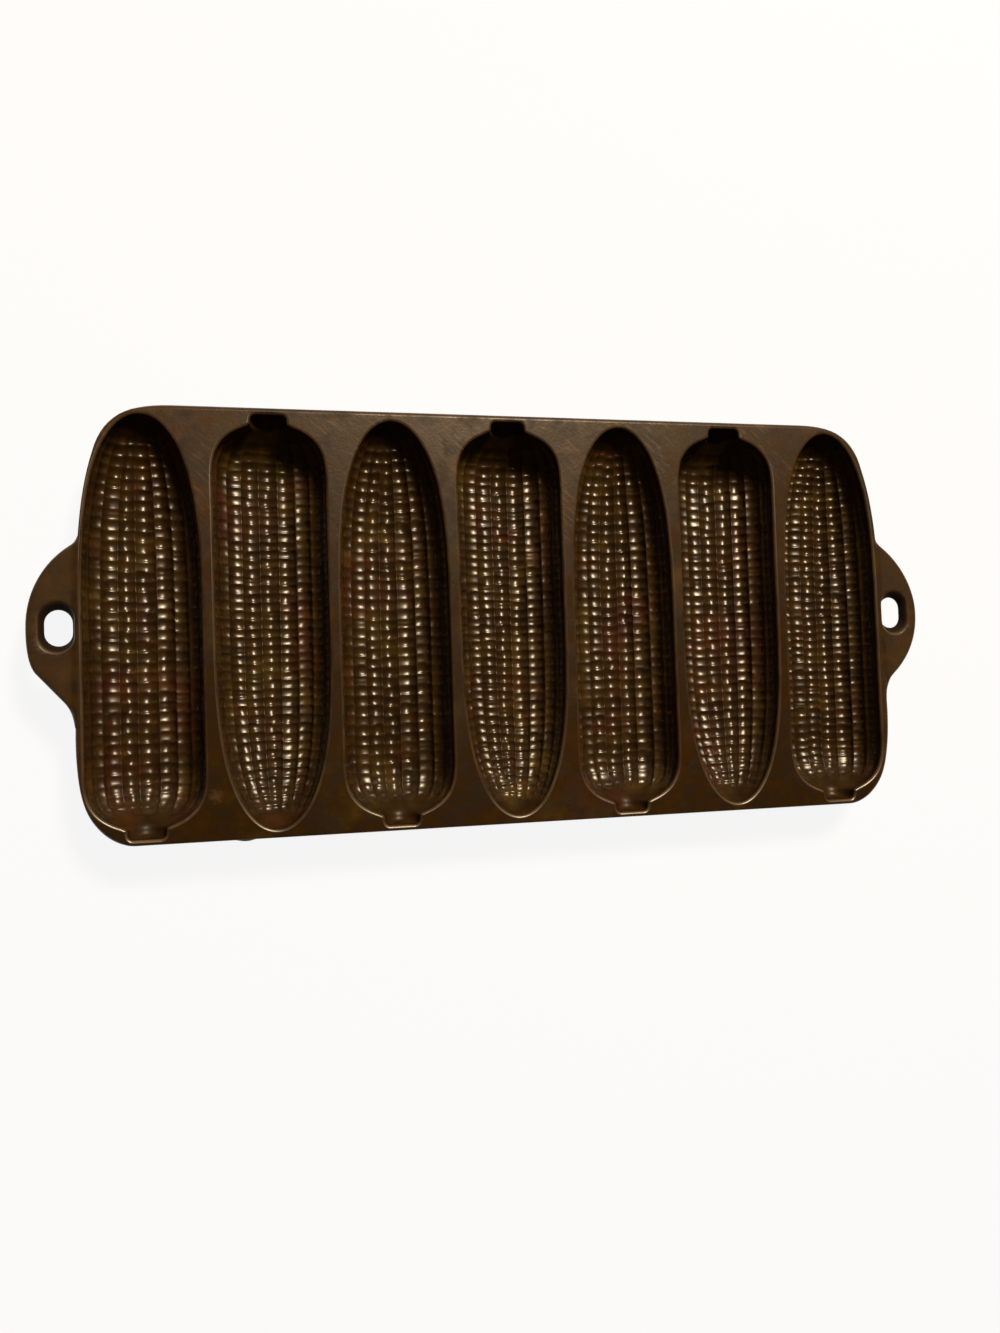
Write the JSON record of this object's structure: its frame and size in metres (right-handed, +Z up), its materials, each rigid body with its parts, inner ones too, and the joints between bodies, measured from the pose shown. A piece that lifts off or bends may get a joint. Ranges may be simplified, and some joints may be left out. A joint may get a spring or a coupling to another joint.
{
  "type": "corn stick pan",
  "caption": "Flat cast iron baking pan with parallel corn cob shaped moulds laid tip to stalk, kernel dimples in each, a level plate between them and a holed ear at each end.",
  "frame": {"origin": "middle of the footprint, on the plane that the pan stands on", "axes": "+X along the pan to the right ear, +Y to the long edge that the odd cobs point at, +Z up out of the moulds"},
  "size_m": [0.3334, 0.15, 0.0228],
  "materials": {
    "seasoned_iron": "dry brown-black seasoning over a fine cast grain",
    "glossy_seasoning": "oily black-brown seasoning, glossy in the kernel dimples"
  },
  "bodies": {
    "root": {"side_rim_left": "seasoned_iron", "web_1_2": "seasoned_iron", "web_2_3": "seasoned_iron", "web_3_4": "seasoned_iron", "web_4_5": "seasoned_iron", "web_5_6": "seasoned_iron", "web_6_7": "seasoned_iron", "side_rim_right": "seasoned_iron", "cob_mould_1": "glossy_seasoning", "cob_mould_2": "glossy_seasoning", "cob_mould_3": "glossy_seasoning", "cob_mould_4": "glossy_seasoning", "cob_mould_5": "glossy_seasoning", "cob_mould_6": "glossy_seasoning", "cob_mould_7": "glossy_seasoning", "handle_left": "seasoned_iron", "handle_right": "seasoned_iron", "gate_stub": "seasoned_iron"}
  },
  "joints": []
}
